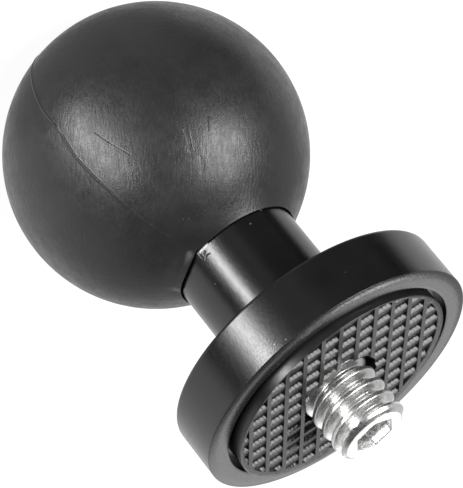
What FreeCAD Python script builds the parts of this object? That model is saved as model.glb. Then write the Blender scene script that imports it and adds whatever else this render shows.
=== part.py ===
import FreeCAD, Part
import Sketcher
import math
import os

# Ball head adapter: a rubber-covered one inch ball on a turned post. The post
# ends in a round flange with a patterned rubber grip pad let into its face, and
# a threaded stud stands out of the middle of the pad.
#
# Frame: the origin is the centre of the ball and +Z runs along the post towards
# the tip of the stud. The tapped hole stands a little off the axis, towards +X.
# Lengths are millimetres and angles are degrees.

SIZES = {
    # Ball and its rubber cover.
    "ball_diameter": 25.4,
    "rubber_wall": 2.2,
    "bond_gap": 0.05,
    "pole_flat_depth": 0.4,
    "neck_gap": 0.12,
    "lip_rise": 0.35,
    "lip_root_wall": 0.8,
    "lip_end_wall": 0.3,
    # Grooves turned in the core, which the rubber fills and grips.
    "groove_width": 1.2,
    "groove_depth": 0.6,
    "groove_spacing": 4.2,
    # Neck and flange of the post.
    "neck_radius": 5.4,
    "flange_back_height": 21.1,
    "flange_radius": 12.3,
    "flange_thickness": 4.75,
    "rim_width": 1.8,
    "recess_depth": 1.0,
    "neck_root_fillet": 0.8,
    "back_edge_fillet": 0.35,
    "front_edge_fillet": 0.3,
    # Stud and the hole that it is locked into. Above the pad the stud is drawn at
    # its crests, and inside the post the thread and its hole at the middle of it.
    "stud_diameter": 6.35,
    "stud_length": 16.0,
    "stud_reach": 5.4,
    "stud_offset": 0.38,
    "tip_chamfer": 0.5,
    "foot_chamfer": 0.6,
    "socket_across_flats": 3.175,
    "socket_depth": 3.2,
    "socket_turn": 15.0,
    "tapped_bore_radius": 2.81,
    "thread_gap": 0.05,
    "foot_gap": 0.3,
    "tap_drill_diameter": 5.1,
    "tap_drill_runout": 2.2,
    "drill_point_angle": 118.0,
    "mouth_chamfer": 0.4,
    # Grip pad and the film that holds it.
    "pad_gap": 0.45,
    "pad_rise": 0.8,
    "pad_edge_fillet": 0.15,
    "pad_hole_diameter": 7.1,
    "hole_follow_share": 0.5,
    "film_thickness": 0.15,
    "film_inset": 0.35,
    # Pattern of the pad: pockets between long rails and cross rails. A step runs
    # along one family of rails, from one rail of the other family to the next.
    "long_step": 1.70,
    "cross_step": 1.645,
    "long_rail_width": 0.37,
    "cross_rail_width": 0.5,
    "long_rail_angle": 70.6,
    "cross_rail_angle": 14.5,
    "pocket_depth": 0.35,
    "pocket_draft": 10.0,
    "field_margin": 0.3,
    "pattern_shift_x": 0.39,
    "pattern_shift_y": 0.68,
}

doc = FreeCAD.newDocument("ball_head_adapter")
sheet = doc.addObject("Spreadsheet::Sheet", "Sizes")
for row, (alias, size) in enumerate(SIZES.items(), start=1):
    sheet.set("A%d" % row, alias)
    sheet.set("B%d" % row, str(size))
    sheet.setAlias("B%d" % row, alias)
doc.recompute()

# Radii and heights that several pieces share, each worked out from the sizes.
BALL_RADIUS = "(Sizes.ball_diameter / 2)"
CORE_RADIUS = "(%s - Sizes.rubber_wall)" % BALL_RADIUS
CORE_FOOT = "(%s - Sizes.pole_flat_depth)" % CORE_RADIUS
LIP_BORE = "(Sizes.neck_radius + Sizes.neck_gap)"
LIP_END = "(sqrt(pow(%s; 2) - pow(Sizes.neck_radius; 2)) + Sizes.lip_rise)" % BALL_RADIUS
FLANGE_FRONT = "(Sizes.flange_back_height + Sizes.flange_thickness)"
RECESS_RADIUS = "(Sizes.flange_radius - Sizes.rim_width)"
RECESS_FLOOR = "(%s - Sizes.recess_depth)" % FLANGE_FRONT
STUD_FOOT = "(%s + Sizes.stud_reach - Sizes.stud_length)" % FLANGE_FRONT
PAD_RADIUS = "(%s - Sizes.pad_gap)" % RECESS_RADIUS
PAD_FLOOR = "(%s + Sizes.film_thickness)" % RECESS_FLOOR
PAD_THICKNESS = "(Sizes.recess_depth + Sizes.pad_rise - Sizes.film_thickness)"
FREE_THREAD = "(Sizes.stud_reach - Sizes.pad_rise)"
PAD_HOLE_RADIUS = "(Sizes.pad_hole_diameter / 2)"
PAD_HOLE_SHIFT = "(Sizes.stud_offset * Sizes.hole_follow_share)"
FIELD_RADIUS = "(%s - Sizes.field_margin)" % PAD_RADIUS

# Places of the three retention grooves, counted in spacings from the equator.
GROOVE_ROWS = (-1, 0, 1)
HEX_CORNERS = 6
FULL_TURN = 360

# Rough size of every outline before its constraints draw it to its place.
SKETCH_REACH = SIZES["ball_diameter"]

# Radii closer than this are one and the same.
SAME_RADIUS = 0.001

# Features that must leave their body with less in it.
CUTS = ("Pocket", "Groove", "Hole", "MultiTransform")


def new_body(name):
    """A body whose label names its node."""
    body = doc.addObject("PartDesign::Body", name)
    body.Label = name
    return body


def new_sketch(body, name, plane="XZ_Plane", height=None):
    """A sketch on one of the body's own origin planes, raised by an expression."""
    sketch = body.newObject("Sketcher::SketchObject", name)
    planes = [item for item in body.Origin.OriginFeatures if item.Role == plane]
    sketch.AttachmentSupport = [(planes[0], "")]
    sketch.MapMode = "FlatFace"
    if height:
        sketch.setExpression("AttachmentOffset.Base.z", height)
    return sketch


def pin(sketch, kind, curve, end, spot):
    """Hold one coordinate of a point: an expression, or zero for the sketch's axis."""
    if spot == 0:
        axis = -2 if kind == "DistanceX" else -1
        sketch.addConstraint(Sketcher.Constraint("PointOnObject", curve, end, axis))
        return
    number = sketch.addConstraint(Sketcher.Constraint(kind, -1, 1, curve, end, SKETCH_REACH))
    sketch.setExpression("Constraints[%d]" % number, spot)


def draw_polygon(sketch, corners):
    """A closed outline of straight lines through corners given as expressions."""
    count = len(corners)
    spots = []
    for step in range(count):
        angle = 2 * math.pi * (step + 0.5) / count
        spots.append(FreeCAD.Vector(math.cos(angle), math.sin(angle), 0) * SKETCH_REACH)
    first = sketch.GeometryCount
    for step in range(count):
        sketch.addGeometry(Part.LineSegment(spots[step], spots[(step + 1) % count]), False)
    for step in range(count):
        after = first + (step + 1) % count
        sketch.addConstraint(Sketcher.Constraint("Coincident", first + step, 2, after, 1))
    for step, (across, along) in enumerate(corners):
        pin(sketch, "DistanceX", first + step, 1, across)
        pin(sketch, "DistanceY", first + step, 1, along)


def draw_circle(sketch, radius, across=0):
    """A circle whose centre is on the sketch's horizontal axis."""
    centre = FreeCAD.Vector(0, 0, 0)
    normal = FreeCAD.Vector(0, 0, 1)
    number = sketch.addGeometry(Part.Circle(centre, normal, SKETCH_REACH), False)
    bound = sketch.addConstraint(Sketcher.Constraint("Radius", number, SKETCH_REACH))
    sketch.setExpression("Constraints[%d]" % bound, radius)
    pin(sketch, "DistanceX", number, 3, across)
    pin(sketch, "DistanceY", number, 3, 0)


def draw_direction(sketch, across, along):
    """A construction line from the origin, for a pattern to follow."""
    far = FreeCAD.Vector(SKETCH_REACH, SKETCH_REACH, 0)
    line = sketch.addGeometry(Part.LineSegment(FreeCAD.Vector(0, 0, 0), far), True)
    sketch.addConstraint(Sketcher.Constraint("Coincident", line, 1, -1, 1))
    pin(sketch, "DistanceX", line, 2, across)
    pin(sketch, "DistanceY", line, 2, along)


def draw_ball_profile(sketch, radius, foot, corners):
    """Half of a ball with a chain of straight edges from its shoulder to the axis.

    The round edge is an arc about the origin, from the foot at the bottom to the
    shoulder, whose distance from the axis comes first among the corners. A foot
    nearer than the radius cuts the ball flat there.
    """
    centre = FreeCAD.Vector(0, 0, 0)
    circle = Part.Circle(centre, FreeCAD.Vector(0, 0, 1), SKETCH_REACH)
    start = -math.pi / 2 if foot == radius else -math.pi / 3
    arc = sketch.addGeometry(Part.ArcOfCircle(circle, start, math.pi / 3), False)
    sketch.addConstraint(Sketcher.Constraint("Coincident", arc, 3, -1, 1))
    pin(sketch, "DistanceX", arc, 2, corners[0])
    pin(sketch, "DistanceY", arc, 2, "sqrt(pow(%s; 2) - pow(%s; 2))" % (radius, corners[0]))

    last = arc
    near = FreeCAD.Vector(SKETCH_REACH, SKETCH_REACH, 0)
    for across, along in corners[1:]:
        far = near + FreeCAD.Vector(SKETCH_REACH, SKETCH_REACH, 0)
        line = sketch.addGeometry(Part.LineSegment(near, far), False)
        sketch.addConstraint(Sketcher.Constraint("Coincident", last, 2, line, 1))
        pin(sketch, "DistanceX", line, 2, across)
        pin(sketch, "DistanceY", line, 2, along)
        near = far
        last = line

    bottom = FreeCAD.Vector(0, -SKETCH_REACH, 0)
    axis = sketch.addGeometry(Part.LineSegment(near, bottom), False)
    sketch.addConstraint(Sketcher.Constraint("Coincident", last, 2, axis, 1))
    pin(sketch, "DistanceX", axis, 2, 0)
    if foot == radius:
        sketch.addConstraint(Sketcher.Constraint("Coincident", axis, 2, arc, 1))
        return
    pin(sketch, "DistanceY", axis, 2, "-" + foot)
    side = FreeCAD.Vector(SKETCH_REACH / 2, -SKETCH_REACH, 0)
    flat = sketch.addGeometry(Part.LineSegment(bottom, side), False)
    sketch.addConstraint(Sketcher.Constraint("Coincident", axis, 2, flat, 1))
    sketch.addConstraint(Sketcher.Constraint("Coincident", flat, 2, arc, 1))
    sketch.addConstraint(Sketcher.Constraint("Horizontal", flat))


def turn(body, kind, name, sketch):
    """Turn a profile about the upright axis of its sketch, adding or cutting."""
    feature = body.newObject("PartDesign::" + kind, name)
    feature.Profile = sketch
    feature.ReferenceAxis = (sketch, ["V_Axis"])
    feature.Angle = FULL_TURN
    return feature


def extrude(body, kind, name, sketch, length):
    """Pad or pocket a sketch by a length given as an expression."""
    feature = body.newObject("PartDesign::" + kind, name)
    feature.Profile = sketch
    feature.setExpression("Length", length)
    return feature


def ring_edge(shape, radius, pick):
    """Name of the highest or lowest round edge, of one radius or the widest there is."""
    rings = []
    for number, edge in enumerate(shape.Edges, start=1):
        if isinstance(edge.Curve, Part.Circle):
            rings.append((edge.Curve.Center.z, edge.Curve.Radius, "Edge%d" % number))
    if radius is None:
        radius = max(ring[1] for ring in rings)
    level = [ring for ring in rings if abs(ring[1] - radius) < SAME_RADIUS]
    return pick(level)[2]


def soften(body, kind, name, size, radius=None, pick=max):
    """Fillet or chamfer one round edge of the body: the highest, or with min the lowest."""
    doc.recompute()
    base = body.Tip
    feature = body.newObject("PartDesign::" + kind, name)
    feature.Base = (base, [ring_edge(base.Shape, radius, pick)])
    feature.setExpression("Radius" if kind == "Fillet" else "Size", size)
    return feature


def seat(body, height, across=None):
    """Put a body at its place on the axis, or to one side of it."""
    body.setExpression("Placement.Base.z", height)
    if across:
        body.setExpression("Placement.Base.x", across)


def groove_seat(row):
    """Height of one retention groove and the radius of its bottom."""
    height = "(%d * Sizes.groove_spacing)" % row
    bottom = "(sqrt(pow(%s; 2) - pow(%s; 2)) - Sizes.groove_depth)" % (CORE_RADIUS, height)
    return height, bottom


def make_post():
    """The turned post: core of the ball, neck, flange, recess and tapped hole."""
    body = new_body("post")
    profile = new_sketch(body, "post_profile")
    corners = [
        "Sizes.neck_radius",
        ("Sizes.neck_radius", "Sizes.flange_back_height"),
        ("Sizes.flange_radius", "Sizes.flange_back_height"),
        ("Sizes.flange_radius", FLANGE_FRONT),
        (RECESS_RADIUS, FLANGE_FRONT),
        (RECESS_RADIUS, RECESS_FLOOR),
        (0, RECESS_FLOOR),
    ]
    draw_ball_profile(profile, CORE_RADIUS, CORE_FOOT, corners)
    turn(body, "Revolution", "post_turned", profile)

    for number, row in enumerate(GROOVE_ROWS, start=1):
        height, bottom = groove_seat(row)
        low = "(%s - Sizes.groove_width / 2)" % height
        high = "(%s + Sizes.groove_width / 2)" % height
        sketch = new_sketch(body, "groove_profile_%d" % number)
        outline = [(bottom, low), (BALL_RADIUS, low), (BALL_RADIUS, high), (bottom, high)]
        draw_polygon(sketch, outline)
        turn(body, "Groove", "retention_groove_%d" % number, sketch)

    drill_spot = new_sketch(body, "drill_spot", "XY_Plane", RECESS_FLOOR)
    draw_circle(drill_spot, "Sizes.tap_drill_diameter / 2", "Sizes.stud_offset")
    doc.recompute()
    drill = body.newObject("PartDesign::Hole", "tap_drill")
    drill.Profile = drill_spot
    drill.DepthType = "Dimension"
    drill.DrillPoint = "Angled"
    drill.setExpression("Diameter", "Sizes.tap_drill_diameter")
    drill.setExpression("DrillPointAngle", "Sizes.drill_point_angle")
    tapped = "(%s - %s + Sizes.foot_gap)" % (RECESS_FLOOR, STUD_FOOT)
    drill.setExpression("Depth", "%s + Sizes.tap_drill_runout" % tapped)

    bore_spot = new_sketch(body, "bore_spot", "XY_Plane", RECESS_FLOOR)
    draw_circle(bore_spot, "Sizes.tapped_bore_radius", "Sizes.stud_offset")
    extrude(body, "Pocket", "tapped_bore", bore_spot, tapped)

    flange_radius = SIZES["flange_radius"]
    soften(body, "Chamfer", "bore_mouth", "Sizes.mouth_chamfer", SIZES["tapped_bore_radius"])
    soften(body, "Fillet", "neck_root", "Sizes.neck_root_fillet", SIZES["neck_radius"])
    soften(body, "Fillet", "back_edge", "Sizes.back_edge_fillet", flange_radius, min)
    soften(body, "Fillet", "front_edge", "Sizes.front_edge_fillet", flange_radius)
    return body


def make_ball_cover():
    """The moulded rubber ball, with ribs that fill the grooves of the core."""
    body = new_body("ball_cover")
    outside = new_sketch(body, "ball_profile")
    root = "(%s + Sizes.lip_root_wall)" % LIP_BORE
    end = "(%s + Sizes.lip_end_wall)" % LIP_BORE
    draw_ball_profile(outside, BALL_RADIUS, BALL_RADIUS, [root, (end, LIP_END), (0, LIP_END)])
    turn(body, "Revolution", "ball_moulded", outside)

    inside = new_sketch(body, "cavity_profile")
    cavity = "(%s + Sizes.bond_gap)" % CORE_RADIUS
    foot = "(%s + Sizes.bond_gap)" % CORE_FOOT
    draw_ball_profile(inside, cavity, foot, [LIP_BORE, (LIP_BORE, BALL_RADIUS), (0, BALL_RADIUS)])
    turn(body, "Groove", "core_cavity", inside)

    for number, row in enumerate(GROOVE_ROWS, start=1):
        height, bottom = groove_seat(row)
        low = "(%s - Sizes.groove_width / 2 + Sizes.bond_gap)" % height
        high = "(%s + Sizes.groove_width / 2 - Sizes.bond_gap)" % height
        tip = "(%s + Sizes.bond_gap)" % bottom
        root = "(%s + Sizes.groove_depth + Sizes.rubber_wall / 2)" % bottom
        sketch = new_sketch(body, "rib_profile_%d" % number)
        draw_polygon(sketch, [(tip, low), (root, low), (root, high), (tip, high)])
        turn(body, "Revolution", "retention_rib_%d" % number, sketch)
    return body


def make_stud():
    """The headless threaded stud, with a hexagon socket in its tip."""
    body = new_body("stud")
    locked = new_sketch(body, "locked_section", "XY_Plane")
    draw_circle(locked, "Sizes.tapped_bore_radius - Sizes.thread_gap")
    extrude(body, "Pad", "locked_thread", locked, "Sizes.stud_length - %s" % FREE_THREAD)
    soften(body, "Chamfer", "foot_chamfer", "Sizes.foot_chamfer", pick=min)
    free = new_sketch(body, "free_section", "XY_Plane", "Sizes.stud_length - %s" % FREE_THREAD)
    draw_circle(free, "Sizes.stud_diameter / 2")
    extrude(body, "Pad", "free_thread", free, FREE_THREAD)
    soften(body, "Chamfer", "tip_chamfer", "Sizes.tip_chamfer")

    corners = []
    for corner in range(HEX_CORNERS):
        angle = "(Sizes.socket_turn + %d)" % (corner * FULL_TURN / HEX_CORNERS)
        reach = "(Sizes.socket_across_flats / sqrt(3))"
        corners.append(("%s * cos(%s)" % (reach, angle), "%s * sin(%s)" % (reach, angle)))
    hexagon = new_sketch(body, "socket_section", "XY_Plane", "Sizes.stud_length")
    draw_polygon(hexagon, corners)
    extrude(body, "Pocket", "hex_socket", hexagon, "Sizes.socket_depth")
    seat(body, STUD_FOOT, "Sizes.stud_offset")
    return body


def make_grip_pad():
    """The rubber pad: a disc whose face is a lattice of rails round drafted pockets."""
    body = new_body("grip_pad")
    section = new_sketch(body, "pad_section", "XY_Plane")
    draw_circle(section, PAD_RADIUS)
    draw_circle(section, PAD_HOLE_RADIUS, PAD_HOLE_SHIFT)
    extrude(body, "Pad", "pad_disc", section, PAD_THICKNESS)

    # One step along each family of rails, as sketch coordinates.
    cross = ("cos(Sizes.cross_rail_angle)", "-sin(Sizes.cross_rail_angle)")
    long = ("cos(Sizes.long_rail_angle)", "sin(Sizes.long_rail_angle)")
    cross_count = "ceil(%s / Sizes.cross_step)" % FIELD_RADIUS
    long_count = "ceil(%s / Sizes.long_step)" % FIELD_RADIUS
    cross_opening = "(Sizes.cross_step - Sizes.long_rail_width)"
    long_opening = "(Sizes.long_step - Sizes.cross_rail_width)"
    shift = ("Sizes.pattern_shift_x", "Sizes.pattern_shift_y")

    def corner(cross_side, long_side):
        """A corner of the first pocket, in the far corner of the pattern."""
        cross_reach = "(%s * Sizes.cross_step %s %s / 2)" % (cross_count, cross_side, cross_opening)
        long_reach = "(%s * Sizes.long_step %s %s / 2)" % (long_count, long_side, long_opening)
        spot = []
        for way in range(2):
            parts = (shift[way], cross_reach, cross[way], long_reach, long[way])
            spot.append("-(%s + %s * %s + %s * %s)" % parts)
        return tuple(spot)

    pocket = new_sketch(body, "pocket_outline", "XY_Plane", PAD_THICKNESS)
    draw_polygon(pocket, [corner("+", "+"), corner("-", "+"), corner("-", "-"), corner("+", "-")])
    draw_direction(pocket, "Sizes.cross_step * " + cross[0], "Sizes.cross_step * " + cross[1])
    draw_direction(pocket, "Sizes.long_step * " + long[0], "Sizes.long_step * " + long[1])
    first = extrude(body, "Pocket", "first_pocket", pocket, "Sizes.pocket_depth")
    first.setExpression("TaperAngle", "-Sizes.pocket_draft")

    grid = body.newObject("PartDesign::MultiTransform", "pocket_grid")
    grid.Originals = [first]
    rows = []
    for axis, count, step in (("Axis0", cross_count, "cross_step"), ("Axis1", long_count, "long_step")):
        row = body.newObject("PartDesign::LinearPattern", "pockets_by_" + step)
        row.Direction = (pocket, [axis])
        row.setExpression("Length", "2 * %s * Sizes.%s" % (count, step))
        row.setExpression("Occurrences", "2 * %s + 1" % count)
        rows.append(row)
    grid.Transformations = rows
    body.Tip = grid
    doc.recompute()

    margin = new_sketch(body, "margin_section", "XY_Plane", "%s - Sizes.pocket_depth" % PAD_THICKNESS)
    draw_circle(margin, PAD_RADIUS)
    draw_circle(margin, FIELD_RADIUS)
    extrude(body, "Pad", "smooth_margin", margin, "Sizes.pocket_depth")
    soften(body, "Fillet", "pad_edge", "Sizes.pad_edge_fillet")
    seat(body, PAD_FLOOR)
    return body


def make_pad_film():
    """The double-sided film between the pad and the floor of the recess."""
    body = new_body("pad_adhesive")
    section = new_sketch(body, "film_section", "XY_Plane")
    draw_circle(section, "%s - Sizes.film_inset" % PAD_RADIUS)
    draw_circle(section, "%s + Sizes.film_inset" % PAD_HOLE_RADIUS, PAD_HOLE_SHIFT)
    extrude(body, "Pad", "film", section, "Sizes.film_thickness")
    seat(body, RECESS_FLOOR)
    return body


def check(bodies):
    """Stop on a failed object, a bad solid, or a cut that removed nothing."""
    # The first pocket of a pattern may miss the disc, so the whole pattern is tested.
    repeated = [first for item in doc.Objects for first in getattr(item, "Originals", [])]
    for item in doc.Objects:
        if "Invalid" in item.State or "Error" in item.State:
            raise RuntimeError("failed: %s %s" % (item.Name, item.State))
        if item.TypeId.split("::")[-1] in CUTS and item not in repeated:
            if item.Shape.Volume >= item.BaseFeature.Shape.Volume:
                raise RuntimeError("cut nothing: %s" % item.Name)
    for body in bodies:
        shape = body.Shape
        if shape.isNull() or not shape.isValid() or len(shape.Solids) != 1:
            raise RuntimeError("bad solid: %s" % body.Label)


bodies = [make_post(), make_ball_cover(), make_stud(), make_grip_pad(), make_pad_film()]
doc.recompute()
check(bodies)
os.makedirs("parts", exist_ok=True)
for body in bodies:
    body.Shape.exportStep("parts/%s.step" % body.Label)
    box = body.Shape.BoundBox
    print("%-13s %9.2f mm3  z %7.3f to %7.3f" % (body.Label, body.Shape.Volume, box.ZMin, box.ZMax))
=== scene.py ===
import math

import bmesh
import bpy
import numpy as np
from mathutils import Matrix, Vector


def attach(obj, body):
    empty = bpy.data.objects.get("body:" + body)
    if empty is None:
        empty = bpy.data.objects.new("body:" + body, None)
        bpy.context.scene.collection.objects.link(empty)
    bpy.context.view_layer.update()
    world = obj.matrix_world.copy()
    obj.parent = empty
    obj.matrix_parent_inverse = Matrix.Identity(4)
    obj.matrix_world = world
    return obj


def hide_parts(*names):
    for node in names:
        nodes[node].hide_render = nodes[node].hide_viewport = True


# Ball head adapter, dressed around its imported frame. Sizes are millimetres and are
# turned into metres by MM where a mesh or a material is made. The origin is the
# centre of the ball and +Z runs towards the tip of the stud. Azimuths are degrees
# from +X towards +Y.

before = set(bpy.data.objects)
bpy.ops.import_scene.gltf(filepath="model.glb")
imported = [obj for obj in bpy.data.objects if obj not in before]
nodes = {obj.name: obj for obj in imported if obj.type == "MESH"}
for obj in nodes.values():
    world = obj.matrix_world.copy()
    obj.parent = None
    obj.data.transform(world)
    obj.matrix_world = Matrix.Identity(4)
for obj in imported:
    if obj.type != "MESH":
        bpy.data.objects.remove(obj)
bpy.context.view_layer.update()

MM = 0.001


# Mesh helpers

def smoothstep(low, high, value):
    t = np.clip((np.asarray(value, float) - low) / (high - low), 0, 1)
    return t * t * (3 - 2 * t)


def hermite(t, start, rise, start_slope, end_slope):
    """A cubic over t from nought to one, with its rise and its slope at both ends."""
    return (start + start_slope * (t - 2 * t ** 2 + t ** 3)
            + rise * (3 * t ** 2 - 2 * t ** 3) + end_slope * (t ** 3 - t ** 2))


def table_value(table, at):
    """A value read from rows of (place, value), straight between the rows."""
    table = np.array(table, float)
    return np.interp(at, table[:, 0], table[:, 1])


def arc(radius, centre, start, end, count):
    """Points (r, z) of an arc, its angles in degrees up from the level."""
    turn = np.radians(np.linspace(start, end, count))
    return [(centre[0] + radius * math.cos(t), centre[1] + radius * math.sin(t)) for t in turn]


def add_object(name, mesh):
    piece = bpy.data.objects.new(name, mesh)
    bpy.context.scene.collection.objects.link(piece)
    return piece


def finish_mesh(mesh, sharp=None):
    """Smooth shading, with edges over the sharp angle left crisp."""
    mesh.polygons.foreach_set("use_smooth", np.ones(len(mesh.polygons), bool))
    if sharp:
        mesh.set_sharp_from_angle(angle=math.radians(sharp))
    mesh.update()


def grid_piece(name, points, caps=(False, False), sharp=None):
    """A surface through rows of points (rows, columns, 3), closed round its columns."""
    rows, columns = points.shape[:2]
    verts = (points.reshape(-1, 3) * MM).tolist()
    faces = []
    for row in range(rows - 1):
        low = row * columns
        high = low + columns
        for column in range(columns):
            after = (column + 1) % columns
            faces.append((low + column, low + after, high + after, high + column))
    if caps[0]:
        faces.append(tuple(range(columns - 1, -1, -1)))
    if caps[1]:
        faces.append(tuple(range((rows - 1) * columns, rows * columns)))
    mesh = bpy.data.meshes.new(name)
    mesh.from_pydata(verts, [], faces)
    finish_mesh(mesh, sharp)
    return add_object(name, mesh)


# Node helpers

class Nodes:
    """Short calls for building one material's nodes."""

    def __init__(self, name, world=False):
        if world:
            self.owner = bpy.data.worlds.new(name)
        else:
            self.owner = bpy.data.materials.new(name)
        self.owner.use_nodes = True
        self.tree = self.owner.node_tree
        self.tree.nodes.clear()

    def add(self, kind, **settings):
        node = self.tree.nodes.new("ShaderNode" + kind)
        for key, value in settings.items():
            setattr(node, key, value)
        return node

    def put(self, socket, value):
        """Link a socket's value, or set a plain one."""
        if isinstance(value, bpy.types.NodeSocket):
            self.tree.links.new(value, socket)
        else:
            socket.default_value = value

    def coords(self):
        return self.add("TexCoord").outputs["Object"]

    def math(self, operation, *values, clamp=False):
        node = self.add("Math", operation=operation, use_clamp=clamp)
        for socket, value in zip(node.inputs, values):
            self.put(socket, value)
        return node.outputs[0]

    def most(self, values):
        """The largest of several values."""
        largest = values[0]
        for value in values[1:]:
            largest = self.math("MAXIMUM", largest, value)
        return largest

    def vector(self, operation, *values, scale=None):
        node = self.add("VectorMath", operation=operation)
        for socket, value in zip(node.inputs, values):
            self.put(socket, value)
        if scale is not None:
            self.put(node.inputs["Scale"], scale)
        plain_number = operation in ("DOT_PRODUCT", "DISTANCE")
        return node.outputs["Value" if plain_number else "Vector"]

    def noise(self, coords, size, detail=2.0, roughness=0.5):
        """Noise whose features are about size millimetres."""
        node = self.add("TexNoise")
        self.put(node.inputs["Vector"], coords)
        self.put(node.inputs["Scale"], 1 / (size * MM))
        self.put(node.inputs["Detail"], detail)
        self.put(node.inputs["Roughness"], roughness)
        return node.outputs[0]

    def specks(self, coords, size, reach):
        """Small round dots, one in each cell of about size millimetres."""
        node = self.add("TexVoronoi")
        self.put(node.inputs["Vector"], coords)
        self.put(node.inputs["Scale"], 1 / (size * MM))
        return self.ramp(node.outputs["Distance"], reach, 0.0)

    def ramp(self, value, low, high, start=0.0, end=1.0):
        """A soft step from start to end as the value goes from low to high."""
        node = self.add("MapRange", interpolation_type="SMOOTHSTEP")
        for socket, number in zip(node.inputs, (value, low, high, start, end)):
            self.put(socket, number)
        return node.outputs[0]

    def mix(self, share, first, second):
        node = self.add("Mix", data_type="RGBA")
        self.put(node.inputs[0], share)
        self.put(node.inputs[6], first)
        self.put(node.inputs[7], second)
        return node.outputs[2]

    def bump(self, height, depth, strength):
        node = self.add("Bump")
        self.put(node.inputs["Height"], height)
        self.put(node.inputs["Distance"], depth * MM)
        self.put(node.inputs["Strength"], strength)
        return node.outputs[0]

    def stroke(self, coords, start, end, width):
        """A soft line between two points, one on it and nought away from it."""
        a = Vector(start) * MM
        along = Vector(end) * MM - a
        offset = self.vector("SUBTRACT", coords, tuple(a))
        reach = self.vector("DOT_PRODUCT", offset, tuple(along))
        share = self.math("DIVIDE", reach, along.length_squared, clamp=True)
        foot = self.vector("SCALE", tuple(along), scale=share)
        gap = self.vector("DISTANCE", offset, foot)
        return self.ramp(gap, width * MM, 0.0)

    def spot(self, coords, centre, radius, core=0.0):
        """A soft ball round a point, one at its core."""
        gap = self.vector("DISTANCE", coords, tuple(Vector(centre) * MM))
        return self.ramp(gap, radius * MM, core * MM)

    def surface(self, **inputs):
        shader = self.add("BsdfPrincipled")
        for key, value in inputs.items():
            self.put(shader.inputs[key.replace("_", " ")], value)
        output = self.add("OutputMaterial")
        self.put(output.inputs["Surface"], shader.outputs[0])
        return self.owner


def grey(value, warm=0.0):
    return (value * (1 + warm), value, value * (1 - warm), 1.0)


# Camera, placed by the fit of the photograph's outlines

CAMERA_RIGHT = Vector((-0.77937988, 0.27037252, 0.56521297))
CAMERA_UP = Vector((-0.62655161, -0.33589502, -0.70328344))
CAMERA_BACK = Vector((-0.00029629, -0.90226006, 0.43119216))
CAMERA_EYE = Vector((-0.31086, -212.52266, 112.20436)) * MM
CAMERA_LENS = 214.5756
SENSOR_WIDTH = 36.0


def add_placed(name, data, place, right, up, back):
    """A camera or lamp at a place, looking against its back vector."""
    thing = bpy.data.objects.new(name, data)
    bpy.context.scene.collection.objects.link(thing)
    turned = Matrix((right, up, back)).transposed().to_4x4()
    thing.matrix_world = Matrix.Translation(place) @ turned
    return thing


camera_data = bpy.data.cameras.new("camera")
camera_data.sensor_width = SENSOR_WIDTH
camera_data.sensor_fit = "AUTO"
camera_data.lens = CAMERA_LENS
camera_data.clip_start = 0.01
camera_data.clip_end = 20.0
bpy.context.scene.camera = add_placed(
    "camera", camera_data, CAMERA_EYE, CAMERA_RIGHT, CAMERA_UP, CAMERA_BACK)


# Rubber ball with its moulded parting line and the lip round the neck

BALL_R = 12.7
NECK_R = 5.4
FAR_POLE_ANGLE = 179.5
LIP_BORE = 5.53
LIP_TOP = 11.845
LIP_ROOT = 7.6
LIP_EDGE_R = LIP_BORE + 0.06
LIP_EDGE_Z = LIP_TOP - 0.05
LIP_ANGLE = 24.0
# The lip's inner edge and bore, as rings so far outside the bore and under the top.
LIP_RINGS = ((0.03, 0.012), (0.01, 0.02), (0.0, 0.06), (0.0, 0.3), (0.0, 1.0), (0.0, 2.2))

# Azimuth of the parting line, by the polar angle from the stud's side.
PARTING = [(0, -66.0), (24, -65.8), (36, -65.2), (50, -65.8), (66, -66.4), (82, -66.6),
           (91, -67.8), (96, -67.9), (101, -67.4), (108, -66.7), (126, -67.0), (180, -66.8)]
# The ridge of the parting line: places across it, its half width and its height. It is
# missing in one short stretch, fainter towards the lip, and gone before the far pole,
# where it would stand out past the ball's own length.
RIDGE_OFFSETS = np.array([-0.34, -0.22, -0.15, -0.1, -0.06, -0.03, 0.0,
                          0.03, 0.06, 0.1, 0.15, 0.22, 0.34])
RIDGE_HALF_WIDTH = 0.075
RIDGE_HEIGHT = 0.06
RIDGE_LEAST_R = 3.0
BREAK_ANGLE = 93.7
BREAK_HALF = 1.6
BREAK_DEPTH = 0.95
FAINT_SHARE = 0.45
FAINT_ANGLES = (40, 70)
POLE_ANGLES = (178, 168)
PLAIN_COLUMNS = 180

# Height of the lip's edge over its usual one, by azimuth.
LIP_WAVE = [(-180, -0.06), (-160, -0.1), (-145, -0.04), (-120, 0.0), (-80, 0.0), (-70, -0.12),
            (-66, -0.24), (-62, -0.1), (-55, 0.06), (-42, 0.2), (-30, 0.14), (-15, 0.0),
            (60, 0.05), (110, -0.04), (180, -0.06)]
# One stretch of the lip stands up with a sharper edge, between these azimuths.
FLAP_START = (-64, -58)
FLAP_END = (-14, -24)
FLAP_LIFT = 0.12
FLAP_WIDENING = 0.09


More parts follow.
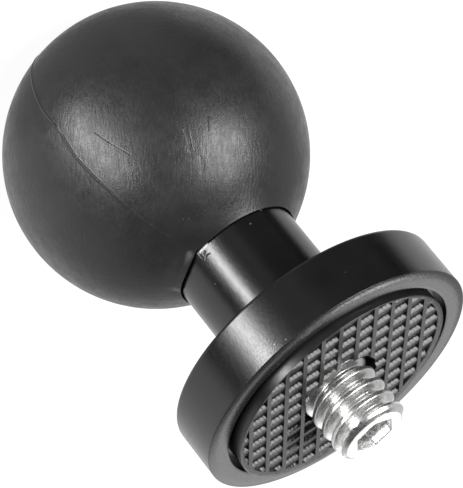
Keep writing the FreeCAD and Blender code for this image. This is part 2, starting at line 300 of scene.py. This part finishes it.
def ball_outline():
    """Rows (r, z, polar angle, share of the lip) from the far pole to inside the lip."""
    root_z = math.sqrt(BALL_R ** 2 - LIP_ROOT ** 2)
    root_angle = math.degrees(math.asin(LIP_ROOT / BALL_R))
    polar = np.concatenate([np.linspace(FAR_POLE_ANGLE, 40, 220),
                            np.linspace(39.5, root_angle, 16)])
    rows = [(BALL_R * math.sin(math.radians(angle)), BALL_R * math.cos(math.radians(angle)),
             angle, 0.0) for angle in polar]
    # The flare goes from the ball's own slope up to the edge of the lip.
    run = LIP_EDGE_R - LIP_ROOT
    ball_slope = -LIP_ROOT / root_z * run
    for t in np.linspace(0, 1, 15)[1:]:
        r = LIP_ROOT + run * t
        z = hermite(t, root_z, LIP_EDGE_Z - root_z, ball_slope, -run)
        rows.append((r, z, math.degrees(math.atan2(r, z)), t))
    rows += [(LIP_BORE + out, LIP_TOP - drop, LIP_ANGLE, 1.0) for out, drop in LIP_RINGS]
    return rows


def make_ball():
    ridge_shape = np.exp(-(RIDGE_OFFSETS / RIDGE_HALF_WIDTH) ** 2)
    # Each half turn has the columns of a ridge and then plain ones up to the next ridge.
    ridge = np.tile(np.concatenate([ridge_shape, np.zeros(PLAIN_COLUMNS)]), 2)
    points = []
    for r, z, angle, lip in ball_outline():
        near_ridge = np.degrees(RIDGE_OFFSETS / max(r, RIDGE_LEAST_R))
        gap = near_ridge[-1]
        plain = np.linspace(gap, 180 - gap, PLAIN_COLUMNS + 2)[1:-1]
        half_turn = np.concatenate([near_ridge, plain])
        first = table_value(PARTING, angle)
        azimuth = np.concatenate([first + half_turn, first + 180 + half_turn])

        broken = BREAK_DEPTH * math.exp(-((angle - BREAK_ANGLE) / BREAK_HALF) ** 2)
        height = RIDGE_HEIGHT * (1 - broken)
        height *= FAINT_SHARE + (1 - FAINT_SHARE) * float(smoothstep(*FAINT_ANGLES, angle))
        height *= float(smoothstep(0.6, 0.0, lip))
        height *= float(smoothstep(*POLE_ANGLES, angle))
        raised = height * ridge / BALL_R

        wrapped = (azimuth + 180) % 360 - 180
        flap = smoothstep(*FLAP_START, wrapped) * smoothstep(*FLAP_END, wrapped)
        lift = table_value(LIP_WAVE, wrapped) * lip ** 2
        lift = lift + FLAP_LIFT * flap * float(smoothstep(0.45, 0.75, lip)) * (1 - 0.4 * lip)
        widening = FLAP_WIDENING * flap * float(smoothstep(0.8, 1.0, lip))
        reach = r * (1 + raised) + widening
        turn = np.radians(azimuth)
        points.append(np.stack([reach * np.cos(turn), reach * np.sin(turn),
                                z + z * raised + lift], axis=1))
    return grid_piece("ball_skin", np.array(points), caps=(True, False))


ball = make_ball()
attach(ball, "root")
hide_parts("ball_cover")


# Turned post: grooved core, neck, and flange with the recess and the tapped hole

CORE_R = 10.5
CORE_FOOT = -10.1
GROOVES = (-4.2, 0.0, 4.2)
GROOVE_HALF = 0.6
GROOVE_DEPTH = 0.6
# The groove's walls lean by this much, so that the outline sorts by height.
GROOVE_LEAN = 1e-4
NECK_FILLET = 0.8
FLANGE_BACK = 21.1
FLANGE_R = 12.3
FLANGE_FRONT = 25.92
BACK_FILLET = 0.35
# The front edge is broken in two rounds (radius, lean at the start, lean at the end),
# and the rim behind it is a little crowned.
EDGE_ROUNDS = ((0.05, 0, 72), (2.8, 72, 85))
CROWN_START = 11.25
CROWN_DROP = 0.012
RIM_RINGS = (11.0, 10.8)
RECESS_R = 10.5
RECESS_FLOOR = 24.85
RECESS_BREAK = 0.06
# The tapped hole and the stud in it stand this far off the axis, towards +X.
STUD_X = 0.38
BORE_R = 2.81
BORE_MOUTH = 0.4
BORE_FOOT = 14.95
DRILL_R = 2.55
DRILL_FOOT = 12.75
DRILL_TIP = 11.22
DRILL_TIP_R = 0.02
POST_COLUMNS = 300


def core_outline():
    """The core ball from its foot to the neck, with its grooves cut in."""
    start = math.degrees(math.asin(CORE_FOOT / CORE_R))
    end = math.degrees(math.acos(NECK_R / CORE_R))
    line = [(r, z) for r, z in arc(CORE_R, (0, 0), start, end, 140)
            if all(abs(z - g) >= GROOVE_HALF for g in GROOVES)]
    for g in GROOVES:
        low, high = g - GROOVE_HALF, g + GROOVE_HALF
        foot = math.sqrt(CORE_R ** 2 - g ** 2) - GROOVE_DEPTH
        line += [(math.sqrt(CORE_R ** 2 - low ** 2), low), (foot, low + GROOVE_LEAN),
                 (foot, high - GROOVE_LEAN), (math.sqrt(CORE_R ** 2 - high ** 2), high)]
    return sorted(line, key=lambda point: point[1])


def edge_outline():
    """The rounds of the flange's front edge, one after the other, from the height nought."""
    edge = [(FLANGE_R, 0.0)]
    for size, start, end in EDGE_ROUNDS:
        r, z = edge[-1]
        lean = math.radians(start)
        centre = (r - size * math.cos(lean), z - size * math.sin(lean))
        edge += arc(size, centre, start, end, 9)[1:]
    return edge


def make_post():
    line = core_outline()
    neck_end = FLANGE_BACK - NECK_FILLET
    line += [(NECK_R, z) for z in np.linspace(line[-1][1], neck_end, 24)[1:]]
    line += arc(NECK_FILLET, (NECK_R + NECK_FILLET, neck_end), 180, 90, 10)[1:]
    back_end = FLANGE_R - BACK_FILLET
    line += [(r, FLANGE_BACK) for r in np.linspace(NECK_R + NECK_FILLET, back_end, 12)[1:-1]]
    line += arc(BACK_FILLET, (back_end, FLANGE_BACK + BACK_FILLET), -90, 0, 10)

    edge = edge_outline()
    edge_foot = FLANGE_FRONT - CROWN_DROP - edge[-1][1]
    line += [(FLANGE_R, z) for z in np.linspace(FLANGE_BACK + BACK_FILLET, edge_foot, 16)[1:-1]]
    line += [(r, z + edge_foot) for r, z in edge]
    crown_end = line[-1][0]
    crown = crown_end - CROWN_START
    line += [(r, FLANGE_FRONT - CROWN_DROP * ((r - CROWN_START) / crown) ** 2)
             for r in np.linspace(crown_end, CROWN_START, 10)[1:]]
    line += [(r, FLANGE_FRONT) for r in (*RIM_RINGS, RECESS_R + RECESS_BREAK)]
    line += [(RECESS_R + RECESS_BREAK / 3, FLANGE_FRONT - RECESS_BREAK / 4),
             (RECESS_R, FLANGE_FRONT - RECESS_BREAK), (RECESS_R, RECESS_FLOOR)]

    hole = [(BORE_R + BORE_MOUTH, RECESS_FLOOR), (BORE_R, RECESS_FLOOR - BORE_MOUTH),
            (BORE_R, BORE_FOOT), (DRILL_R, BORE_FOOT), (DRILL_R, DRILL_FOOT),
            (DRILL_TIP_R, DRILL_TIP)]
    rings = [(r, z, 0.0) for r, z in line] + [(r, z, STUD_X) for r, z in hole]
    turn = np.arange(POST_COLUMNS) * 2 * math.pi / POST_COLUMNS
    points = np.array([[(shift + r * math.cos(t), r * math.sin(t), z) for t in turn]
                       for r, z, shift in rings])
    return grid_piece("post_skin", points, caps=(True, True), sharp=30)


post = make_post()
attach(post, "root")
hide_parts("post")


# Threaded stud with a hexagon socket in its tip

CREST = 3.15
ROOT = 2.47
PITCH = 1.27
# The flank lies between these shares of the way from a crest to the next root.
FLANK = (0.2, 0.86)
# A crest passes this height at azimuth nought.
CREST_START = 27.489
TIP_Z = 31.25
TIP_FACE = 2.72
TIP_LEAN = 0.95
TIP_CONE_STEP = 0.05
# The worn edge of the tip, as rings so far under it and inside the face's radius.
TIP_RINGS = ((0.07, 0.015), (0.04, 0.04), (0.015, 0.085), (0.0, 0.16))
FOOT_Z = 15.25
FOOT_FACE = 1.9
FOOT_CHAMFER = 0.6
# Rows of the thread are closer above this height, where they show.
SHOWN_FROM = 24.0
HIDDEN_STEP = 0.11
SHOWN_STEP = 0.045
THREAD_END = TIP_Z - 0.1
STUD_COLUMNS = 192
# Dents in the crests (azimuth, height, width, depth), the deepest in the second from the tip.
DENTS = ((178, 29.43, 0.16, 0.22), (186, 28.2, 0.12, 0.07), (232, 28.9, 0.1, 0.05))
DENT_HALF_HEIGHT = 0.3
SOCKET_FLAT = 1.5875
SOCKET_CORNER = 1.79
SOCKET_TURN = math.radians(15.0)
SOCKET_DEPTH = 3.0
SOCKET_POINT_R = 0.12
SOCKET_POINT_Z = TIP_Z - SOCKET_DEPTH - 0.7
# The mouth and walls of the socket, as rings so far outside the hexagon and under the tip.
SOCKET_RINGS = ((0.35, 0.0), (0.12, 0.0), (0.05, 0.012), (0.0, 0.06), (0.0, 0.9),
                (0.0, SOCKET_DEPTH))


def thread_radius(phase):
    """Radius of the rolled thread at a phase, with nought at the crest."""
    swing = np.abs((phase + 0.5) % 1 - 0.5) * 2
    return CREST - (CREST - ROOT) * smoothstep(*FLANK, swing)


def make_stud():
    azimuth = np.linspace(0, 2 * np.pi, STUD_COLUMNS, endpoint=False)
    heights = np.concatenate([np.arange(FOOT_Z + FOOT_CHAMFER, SHOWN_FROM, HIDDEN_STEP),
                              np.arange(SHOWN_FROM, THREAD_END, SHOWN_STEP)])

    def ring(radius, height):
        row = np.empty((STUD_COLUMNS, 3))
        row[:, 0] = STUD_X + radius * np.cos(azimuth)
        row[:, 1] = radius * np.sin(azimuth)
        row[:, 2] = height
        return row

    points = [ring(FOOT_FACE, FOOT_Z)]
    for z in heights:
        radius = thread_radius((z - CREST_START - PITCH * azimuth / (2 * np.pi)) / PITCH)
        # The thread runs out into the chamfers of the tip and the foot.
        tip_cone = TIP_FACE + TIP_CONE_STEP + (TIP_Z - z) * TIP_LEAN
        foot_cone = FOOT_FACE + (z - FOOT_Z)
        radius = np.minimum(np.minimum(radius, tip_cone), foot_cone)
        for where, level, width, depth in DENTS:
            turn = (np.degrees(azimuth) - where + 180) % 360 - 180
            aside = np.radians(turn) * CREST / width
            radius = radius - depth * np.exp(-aside ** 2 - ((z - level) / DENT_HALF_HEIGHT) ** 2)
        points.append(ring(radius, z))
    points += [ring(TIP_FACE - inset, TIP_Z - drop) for drop, inset in TIP_RINGS]

    sector = (azimuth - SOCKET_TURN) % (np.pi / 3) - np.pi / 6
    hexagon = np.minimum(SOCKET_FLAT / np.cos(sector), SOCKET_CORNER)
    points += [ring(hexagon + grow, TIP_Z - drop) for grow, drop in SOCKET_RINGS]
    points.append(ring(SOCKET_POINT_R, SOCKET_POINT_Z))
    return grid_piece("stud_thread", np.array(points), caps=(True, True), sharp=50)


stud = make_stud()
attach(stud, "root")
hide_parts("stud")


# Grip pad: straight rails with rows of low ratchet teeth between them

PAD_FLOOR = 25.0
PAD_MIDDLE = 26.5
PAD_R = 10.03
# The rolled edge, as rings so far inside the pad's radius and under its face.
PAD_EDGE = ((0.025, 0.0), (0.007, 0.007), (0.0, 0.025))
# The pad is stuck down a little askew, so its face climbs this much for each millimetre.
CLIMB_X = 0.0352
CLIMB_Y = -0.0097
FIELD_R = 9.6
FIELD_Y = -0.4
PAD_HOLE_R = 3.55
PAD_HOLE_X = 0.19
# The lattice is square, with 15 steps to the inch. Rails run the long way.
STEP = 25.4 / 15
RAIL_WIDTH = 0.38
HALF_GAP = (STEP - RAIL_WIDTH) / 2
RAIL_DRAFT = 0.07
PATTERN_TURN = math.radians(-19.5)
CROSS_WAY = np.array([math.cos(PATTERN_TURN), math.sin(PATTERN_TURN)])
LONG_WAY = np.array([-math.sin(PATTERN_TURN), math.cos(PATTERN_TURN)])
PATTERN_REACH = 8
# The crest of the tooth in the middle cell, which sets where the pattern lies.
MIDDLE_CREST = np.array([-0.21, 0.27])
TOOTH_DEPTH = 0.28
TOOTH_FRONT = 0.20
CREST_ROUND = 0.035
CREST_DROP = 0.02
FLUTE_PITCH = 0.36
FLUTE_DEPTH = 0.02
# The flutes are shifted by so much from column to column and from row to row.
FLUTE_COLUMN_SHIFT = 0.31
FLUTE_ROW_SHIFT = 0.17
# The hole's wall starts this far under the face, below every tooth.
HOLE_WALL_DROP = TOOTH_DEPTH + 0.1


def tooth_height(across, behind, column, row):
    """Height over the rails, by the place across a gap and behind a crest."""
    shift = FLUTE_COLUMN_SHIFT * column + FLUTE_ROW_SHIFT * row
    flute = np.abs(np.sin(np.pi * (across + shift) / FLUTE_PITCH))
    ahead = STEP - behind
    front = -TOOTH_DEPTH * ahead / (TOOTH_FRONT + FLUTE_DEPTH * (flute - 0.5))
    back = -TOOTH_DEPTH * behind / (STEP - TOOTH_FRONT)
    height = np.maximum(front, back)
    height = height - CREST_DROP * np.exp(-(np.minimum(ahead, behind) / CREST_ROUND) ** 2)
    rail = -TOOTH_DEPTH * (HALF_GAP - np.abs(across)) / RAIL_DRAFT
    return np.where(np.abs(across) >= HALF_GAP, 0.0, np.maximum(height, rail))


def pad_face(x, y):
    """Height of the rails over a place."""
    return PAD_MIDDLE + CLIMB_X * x + CLIMB_Y * y


def pad_field():
    """The patterned field, cut out between the hole and the smooth margin, as a mesh."""
    # Lines of the grid in one cell, closest together at its edges and crests.
    across_lines = np.unique(np.concatenate([
        np.linspace(-HALF_GAP, -HALF_GAP + RAIL_DRAFT, 4),
        np.linspace(-HALF_GAP + 0.09, HALF_GAP - 0.09, 28),
        np.linspace(HALF_GAP - RAIL_DRAFT, HALF_GAP, 4),
        np.linspace(HALF_GAP, STEP - HALF_GAP, 5)[:-1]]))
    tooth_foot = STEP - TOOTH_FRONT
    behind_lines = np.concatenate([
        [0, 0.012, 0.03, 0.055, 0.09, 0.16], np.linspace(0.3, tooth_foot - 0.12, 8),
        np.linspace(tooth_foot - 0.04, STEP - 0.05, 8), [STEP - 0.03, STEP - 0.012]])
    cells = np.arange(-PATTERN_REACH, PATTERN_REACH + 1)
    across, behind = np.meshgrid(np.tile(across_lines, len(cells)),
                                 np.tile(behind_lines, len(cells)))
    column, row = np.meshgrid(np.repeat(cells, len(across_lines)),
                              np.repeat(cells, len(behind_lines)))
    u = across + column * STEP
    v = behind + row * STEP
    x = MIDDLE_CREST[0] + u * CROSS_WAY[0] + v * LONG_WAY[0]
    y = MIDDLE_CREST[1] + u * CROSS_WAY[1] + v * LONG_WAY[1]
    wrapped = np.where(across > STEP / 2, across - STEP, across)
    z = pad_face(x, y) + tooth_height(wrapped, behind, column, row)

    middle_x = (x[:-1, :-1] + x[1:, 1:]) / 2
    middle_y = (y[:-1, :-1] + y[1:, 1:]) / 2
    in_field = np.hypot(middle_x, middle_y - FIELD_Y) < FIELD_R
    keep = in_field & (np.hypot(middle_x - PAD_HOLE_X, middle_y) > PAD_HOLE_R)
    index = np.arange(x.size).reshape(x.shape)
    faces = np.stack([index[:-1, :-1], index[:-1, 1:], index[1:, 1:], index[1:, :-1]], axis=-1)
    used, faces = np.unique(faces[keep], return_inverse=True)
    verts = np.stack([x.ravel(), y.ravel(), z.ravel()], axis=1)[used] * MM
    mesh = bpy.data.meshes.new("pad_skin")
    mesh.from_pydata(verts.tolist(), [], faces.reshape(-1, 4).tolist())
    return mesh


def make_pad():
    mesh = pad_field()
    bm = bmesh.new()
    bm.from_mesh(mesh)
    hole_centre = Vector((PAD_HOLE_X, 0, 0)) * MM
    field_centre = Vector((0, FIELD_Y, 0)) * MM
    pad_centre = Vector()

    def put(vert, centre, radius, drop, floor=False):
        """Set a vertex at a radius round a centre, a drop under the face or on the floor."""
        away = (vert.co - centre) * Vector((1, 1, 0))
        place = centre + away.normalized() * radius * MM
        height = PAD_FLOOR if floor else pad_face(place.x / MM, place.y / MM) - drop
        vert.co = (place.x, place.y, height * MM)

    def step_out(edges, *place):
        """Extrude a loop of edges to a place, and return the new loop."""
        made = bmesh.ops.extrude_edge_only(bm, edges=list(edges))["geom"]
        for item in made:
            if isinstance(item, bmesh.types.BMVert):
                put(item, *place)
        return [item for item in made
                if isinstance(item, bmesh.types.BMEdge) and item.is_boundary]

    inner, outer = [], []
    half_way = (PAD_HOLE_R + FIELD_R) / 2 * MM
    for edge in bm.edges:
        if edge.is_boundary:
            near = (edge.verts[0].co - hole_centre).xy.length < half_way
            (inner if near else outer).append(edge)
    # The ragged borders of the field are drawn to their circles.
    for vert in {vert for edge in outer for vert in edge.verts}:
        put(vert, field_centre, FIELD_R, 0.0)
    for vert in {vert for edge in inner for vert in edge.verts}:
        drop = pad_face(vert.co.x / MM, vert.co.y / MM) - vert.co.z / MM
        put(vert, hole_centre, PAD_HOLE_R, drop)

    for inset, drop in PAD_EDGE:
        outer = step_out(outer, pad_centre, PAD_R - inset, drop)
    outer = step_out(outer, pad_centre, PAD_R, 0.0, True)
    inner = step_out(inner, hole_centre, PAD_HOLE_R, HOLE_WALL_DROP)
    inner = step_out(inner, hole_centre, PAD_HOLE_R, 0.0, True)
    bmesh.ops.bridge_loops(bm, edges=outer + inner)
    bmesh.ops.recalc_face_normals(bm, faces=bm.faces)
    bm.to_mesh(mesh)
    bm.free()
    finish_mesh(mesh, sharp=40)
    return add_object("pad_skin", mesh)


pad = make_pad()
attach(pad, "root")
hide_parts("grip_pad")


# Materials

# Scuffs in the rubber (start, end, width, depth), the depth in steps of the grain.
BALL_SCUFFS = [
    ((2.61, -12.33, 1.54), (2.26, -12.17, 2.83), 0.12, 1.1),
    ((2.26, -12.17, 2.83), (1.54, -11.71, 4.67), 0.10, 0.8),
    ((-2.98, -11.05, 5.50), (-2.11, -10.35, 7.06), 0.10, -2.4),
    ((-3.30, -10.88, 5.66), (-2.50, -10.24, 7.03), 0.10, -1.6),
    ((-5.06, -10.13, 5.75), (-4.56, -9.91, 6.51), 0.20, -1.2),
    ((-2.61, -9.65, 7.83), (-2.08, -9.22, 8.48), 0.40, 0.9),
]
# Places of loose bright crumbs (centre, radius), and how much of each is solid.
BALL_CRUMBS = [((-0.17, -7.46, 10.27), 1.0), ((1.32, -7.65, 10.05), 0.45),
               ((2.34, -11.68, 4.41), 0.4)]
CRUMB_CORE = 0.4
# A painted highlight: a pale sliver along the lip, standing in for the light its raised edge
# catches (start, end, width).
LIP_PAINTED_HIGHLIGHT = ((2.85, -5.15, 11.5), (5.45, -1.9, 11.4), 0.45)
# The rubber is drawn out into short fibres along this way.
FIBRE_WAY = Vector((-0.63, -0.34, -0.70)).normalized()


def fibres(n, at, share):
    """Coordinates squeezed along the fibres, so that noise is stretched that way."""
    along = n.vector("DOT_PRODUCT", at, tuple(FIBRE_WAY))
    squeeze = n.vector("SCALE", tuple(FIBRE_WAY), scale=n.math("MULTIPLY", along, share))
    return n.vector("SUBTRACT", at, squeeze)


def ball_rubber():
    n = Nodes("ball_rubber")
    at = n.coords()
    broad = n.noise(at, 5.0, 3, 0.55)
    patchy = n.noise(at, 1.3, 3, 0.6)
    grain = n.noise(fibres(n, at, 0.72), 0.20, 3, 0.62)
    fine = n.noise(at, 0.09, 2, 0.5)
    dust = n.math("MULTIPLY", n.specks(at, 0.55, 0.07), n.ramp(n.noise(at, 1.6, 2), 0.48, 0.6))
    crumbs = n.most([n.spot(at, centre, radius, radius * CRUMB_CORE)
                     for centre, radius in BALL_CRUMBS])
    crumbs = n.math("MULTIPLY", crumbs, n.specks(at, 0.30, 0.22))
    colour = n.mix(n.ramp(broad, 0.3, 0.7), grey(0.017), grey(0.023))
    colour = n.mix(n.math("MULTIPLY", dust, 0.5), colour, grey(0.16))
    colour = n.mix(n.math("MULTIPLY", crumbs, 0.6), colour, grey(0.22))
    # Painted highlight: the lip's raised edge is coloured pale where it catches light.
    colour = n.mix(n.math("MULTIPLY", n.stroke(at, *LIP_PAINTED_HIGHLIGHT), 0.8), colour, grey(0.12))
    rough = n.ramp(grain, 0.25, 0.75, 0.30, 0.42)
    rough = n.math("ADD", rough, n.ramp(patchy, 0.3, 0.7, -0.05, 0.05))
    height = n.math("ADD", n.math("MULTIPLY", grain, 1.5), n.math("MULTIPLY", fine, 0.5))
    height = n.math("ADD", height, n.math("MULTIPLY", patchy, 1.2))
    for start, end, width, depth in BALL_SCUFFS:
        scuff = n.math("MULTIPLY", n.stroke(at, start, end, width), depth)
        height = n.math("SUBTRACT", height, scuff)
    normal = n.bump(height, 0.020, 0.8)
    return n.surface(Base_Color=colour, Roughness=rough, Normal=normal, Specular_IOR_Level=0.5)


# The faced front of the flange is a little rougher than the turned sides, and is coloured paler
# as painted light, standing in for the light its rim catches.
FACE_FINISH_AND_LIGHT_FROM = 25.68
FACE_FINISH_AND_LIGHT_FULLY = FACE_FINISH_AND_LIGHT_FROM + 0.1

# Where the neck was nicked by the mould: a bare edge, pits coloured near black as painted shade
# in their hollows, and small bright specks.
BARE_EDGE = ((2.23, -4.92, 11.86), (1.26, -5.25, 11.80), 0.16)
PITS_WITH_PAINTED_SHADE = [((1.83, -5.08, 12.12), (1.95, -5.03, 12.2), 0.16),
             ((2.24, -4.91, 11.8), (2.25, -4.91, 12.29), 0.12),
             ((2.13, -4.96, 12.64), (1.9, -5.05, 12.45), 0.09),
             ((1.9, -5.05, 12.45), (1.58, -5.16, 12.55), 0.09)]
METAL_SPECKS = [((-3.76, -3.87, 11.78), 0.14), ((-2.43, -4.82, 12.59), 0.11),
                ((2.76, -4.64, 14.68), 0.09), ((1.96, -12.14, 25.20), 0.12),
                ((1.07, -12.25, 25.50), 0.12)]
# Turning marks are noise stretched round the post and squeezed along it.
TURNING_STRETCH = (0.25, 0.25, 3.0)


def anodised():
    n = Nodes("black_anodised")
    at = n.coords()
    turning = n.noise(n.vector("MULTIPLY", at, TURNING_STRETCH), 0.35, 3, 0.6)
    grain = n.noise(at, 0.15, 3, 0.65)
    broad = n.noise(at, 4.0, 2)
    bare = n.stroke(at, *BARE_EDGE)
    bright = n.most([n.spot(at, centre, radius) for centre, radius in METAL_SPECKS])
    pits_and_painted_shade = n.most([n.stroke(at, *pit) for pit in PITS_WITH_PAINTED_SHADE])
    worn = n.math("MULTIPLY", n.specks(at, 0.9, 0.05), n.ramp(n.noise(at, 2.2, 2), 0.55, 0.65))
    rise = n.vector("DOT_PRODUCT", at, (0, 0, 1))
    faced_finish_and_light = n.ramp(rise, FACE_FINISH_AND_LIGHT_FROM * MM, FACE_FINISH_AND_LIGHT_FULLY * MM)
    colour = n.mix(n.ramp(broad, 0.35, 0.65), grey(0.004), grey(0.006))
    colour = n.mix(n.math("MULTIPLY", worn, 0.6), colour, grey(0.2))
    colour = n.mix(n.math("MULTIPLY", bare, 0.85), colour, grey(0.7))
    colour = n.mix(n.math("MULTIPLY", bright, 0.7), colour, grey(0.2))
    # Painted shade: the pits are coloured near black, standing in for the shade in their
    # hollows.
    colour = n.mix(pits_and_painted_shade, colour, grey(0.002))
    # Painted light: the faced front is coloured paler to brighten the rim; its extra roughness
    # and dents are the faced finish.
    colour = n.mix(n.math("MULTIPLY", faced_finish_and_light, 0.9), colour, grey(0.02))
    rough = n.ramp(grain, 0.2, 0.8, 0.15, 0.27)
    rough = n.math("ADD", rough, n.math("MULTIPLY", faced_finish_and_light, 0.03))
    rough = n.math("ADD", rough, n.math("MULTIPLY", pits_and_painted_shade, 0.5))
    dents = n.math("MULTIPLY", n.noise(at, 0.7, 3, 0.6), n.math("MULTIPLY", faced_finish_and_light, 0.3))
    height = n.math("ADD", n.math("MULTIPLY", grain, 1.3), n.math("MULTIPLY", turning, 0.4))
    height = n.math("SUBTRACT", n.math("ADD", height, dents), n.math("MULTIPLY", pits_and_painted_shade, 3.0))
    normal = n.bump(height, 0.011, 0.8)
    return n.surface(Base_Color=colour, Roughness=rough, Normal=normal, IOR=1.6)


def plated_steel():
    n = Nodes("plated_steel")
    at = n.coords()
    broad = n.noise(at, 0.9, 3, 0.6)
    grain = n.noise(at, 0.12, 3, 0.6)
    colour = n.mix(n.ramp(broad, 0.3, 0.7), grey(0.84, 0.01), grey(0.94, 0.005))
    rough = n.ramp(grain, 0.25, 0.75, 0.22, 0.38)
    normal = n.bump(n.math("ADD", broad, n.math("MULTIPLY", grain, 0.3)), 0.03, 0.5)
    return n.surface(Base_Color=colour, Metallic=1.0, Roughness=rough, Normal=normal)


def pad_rubber():
    n = Nodes("pad_rubber")
    at = n.coords()
    broad = n.noise(at, 3.0, 3, 0.6)
    grain = n.noise(at, 0.1, 3, 0.6)
    colour = n.mix(n.ramp(broad, 0.3, 0.7), grey(0.010), grey(0.016))
    # The flat rails have a duller skin than the teeth.
    facing = n.vector("DOT_PRODUCT", n.add("TexCoord").outputs["Normal"], (0, 0, 1))
    dull = n.ramp(facing, 0.990, 0.999, 0.0, 0.16)
    rough = n.math("ADD", n.ramp(grain, 0.25, 0.75, 0.19, 0.28), dull)
    normal = n.bump(grain, 0.012, 0.5)
    return n.surface(Base_Color=colour, Roughness=rough, Normal=normal, Specular_IOR_Level=0.44)


def film():
    n = Nodes("adhesive_film")
    at = n.coords()
    colour = n.mix(n.noise(at, 0.8, 2), (0.78, 0.75, 0.68, 1), (0.86, 0.84, 0.78, 1))
    normal = n.bump(n.noise(at, 0.15, 2), 0.01, 0.4)
    return n.surface(Base_Color=colour, Roughness=0.5, Normal=normal)


def dress(piece, material):
    piece.data.materials.clear()
    piece.data.materials.append(material)


dress(ball, ball_rubber())
dress(post, anodised())
dress(stud, plated_steel())
dress(pad, pad_rubber())
dress(nodes["pad_adhesive"], film())


# Stage: a pale floor, the surroundings that the object mirrors, and three soft lamps

FLOOR_Z = -12.7
FLOOR_REACH = 1.5
FLOOR_GLOW = 0.93
FLOOR_COLOUR = grey(0.2)

# Soft-edged fields of the surroundings, in degrees: centre azimuth, half width,
# centre elevation, half height, and radiance with 1 as white.
FIELDS = {
    "table": (69, 91, -25, 25, 1.15),
    "table_far": (69, 91, 20, 20, 0.6),
    "table_glare": (80, 16, 20, 11, 1.5),
    "below": (0, 180, -72, 22, 0.45),
    "front": (-95, 20, -10, 30, 0.25),
    "lamp_haze": (-60, 20, -5, 30, 1.15),
    "window_haze": (-145, 40, 40, 25, 0.45),
    "room": (-140, 40, -25, 25, 0.13),
    "above": (0, 180, 72, 22, 0.07),
}
FIELD_EDGE = 3.0

# Rectangular lamps, given as the fields are.
LAMPS = {
    "lamp_left": (-60, 6, -8, 30, 17.5),
    "lamp_right": (-150, 15, 43, 16, 12.0),
    "lamp_behind": (101, 2, 44, 5, 16.0),
}
LAMP_DISTANCE = 0.5


def make_floor():
    mesh = bpy.data.meshes.new("floor")
    corners = [(x * FLOOR_REACH, y * FLOOR_REACH, FLOOR_Z * MM)
               for x, y in ((-1, -1), (1, -1), (1, 1), (-1, 1))]
    mesh.from_pydata(corners, [], [(0, 1, 2, 3)])
    floor = add_object("floor", mesh)
    floor.visible_glossy = False
    floor.visible_diffuse = False
    floor.visible_transmission = False
    floor.visible_shadow = False
    n = Nodes("pale_floor")
    glow = n.add("Emission")
    n.put(glow.inputs["Strength"], FLOOR_GLOW)
    soft = n.add("BsdfDiffuse")
    n.put(soft.inputs["Color"], FLOOR_COLOUR)
    both = n.add("AddShader")
    n.put(both.inputs[0], glow.outputs[0])
    n.put(both.inputs[1], soft.outputs[0])
    n.put(n.add("OutputMaterial").inputs["Surface"], both.outputs[0])
    dress(floor, n.owner)
    return floor


def field_mask(n, way, azimuth, half_width, elevation, half_height):
    """One within a field of directions and nought outside it."""
    turn = math.radians(azimuth)
    ahead = n.vector("DOT_PRODUCT", way, (math.cos(turn), math.sin(turn), 0))
    aside = n.vector("DOT_PRODUCT", way, (-math.sin(turn), math.cos(turn), 0))
    climb = n.math("ARCSINE", n.vector("DOT_PRODUCT", way, (0, 0, 1)))
    off_azimuth = n.math("ABSOLUTE", n.math("ARCTAN2", aside, ahead))
    off_elevation = n.math("ABSOLUTE", n.math("SUBTRACT", climb, math.radians(elevation)))
    masks = []
    for off, half in ((off_azimuth, half_width), (off_elevation, half_height)):
        outside, inside = math.radians(half + FIELD_EDGE), math.radians(half - FIELD_EDGE)
        masks.append(n.ramp(off, outside, inside))
    return n.math("MULTIPLY", *masks)


def make_world():
    """White to the camera and through glass, and the fields to every other ray."""
    n = Nodes("studio", world=True)
    way = n.add("TexCoord").outputs["Generated"]
    strength = 0.0
    for *field, radiance in FIELDS.values():
        strength = n.math("MULTIPLY_ADD", field_mask(n, way, *field), radiance, strength)
    path = n.add("LightPath")
    strength = n.most([strength, path.outputs["Is Camera Ray"],
                       path.outputs["Is Transmission Ray"]])
    background = n.add("Background")
    n.put(background.inputs["Strength"], strength)
    n.put(n.add("OutputWorld").inputs["Surface"], background.outputs[0])
    bpy.context.scene.world = n.owner


def add_lamp(name, azimuth, half_width, elevation, half_height, radiance):
    """A lamp that fills a field of directions, upright along the post's axis."""
    width, height = (2 * LAMP_DISTANCE * math.tan(math.radians(half))
                     for half in (half_width, half_height))
    data = bpy.data.lights.new(name, "AREA")
    data.shape = "RECTANGLE"
    data.size = width
    data.size_y = height
    data.energy = radiance * math.pi * width * height
    a, e = math.radians(azimuth), math.radians(elevation)
    back = Vector((math.cos(a) * math.cos(e), math.sin(a) * math.cos(e), math.sin(e)))
    side = Vector((-math.sin(a), math.cos(a), 0))
    add_placed(name, data, back * LAMP_DISTANCE, side, back.cross(side), back)


make_floor()
make_world()
for lamp_name, lamp_field in LAMPS.items():
    add_lamp(lamp_name, *lamp_field)

bpy.context.scene.view_settings.view_transform = "Standard"
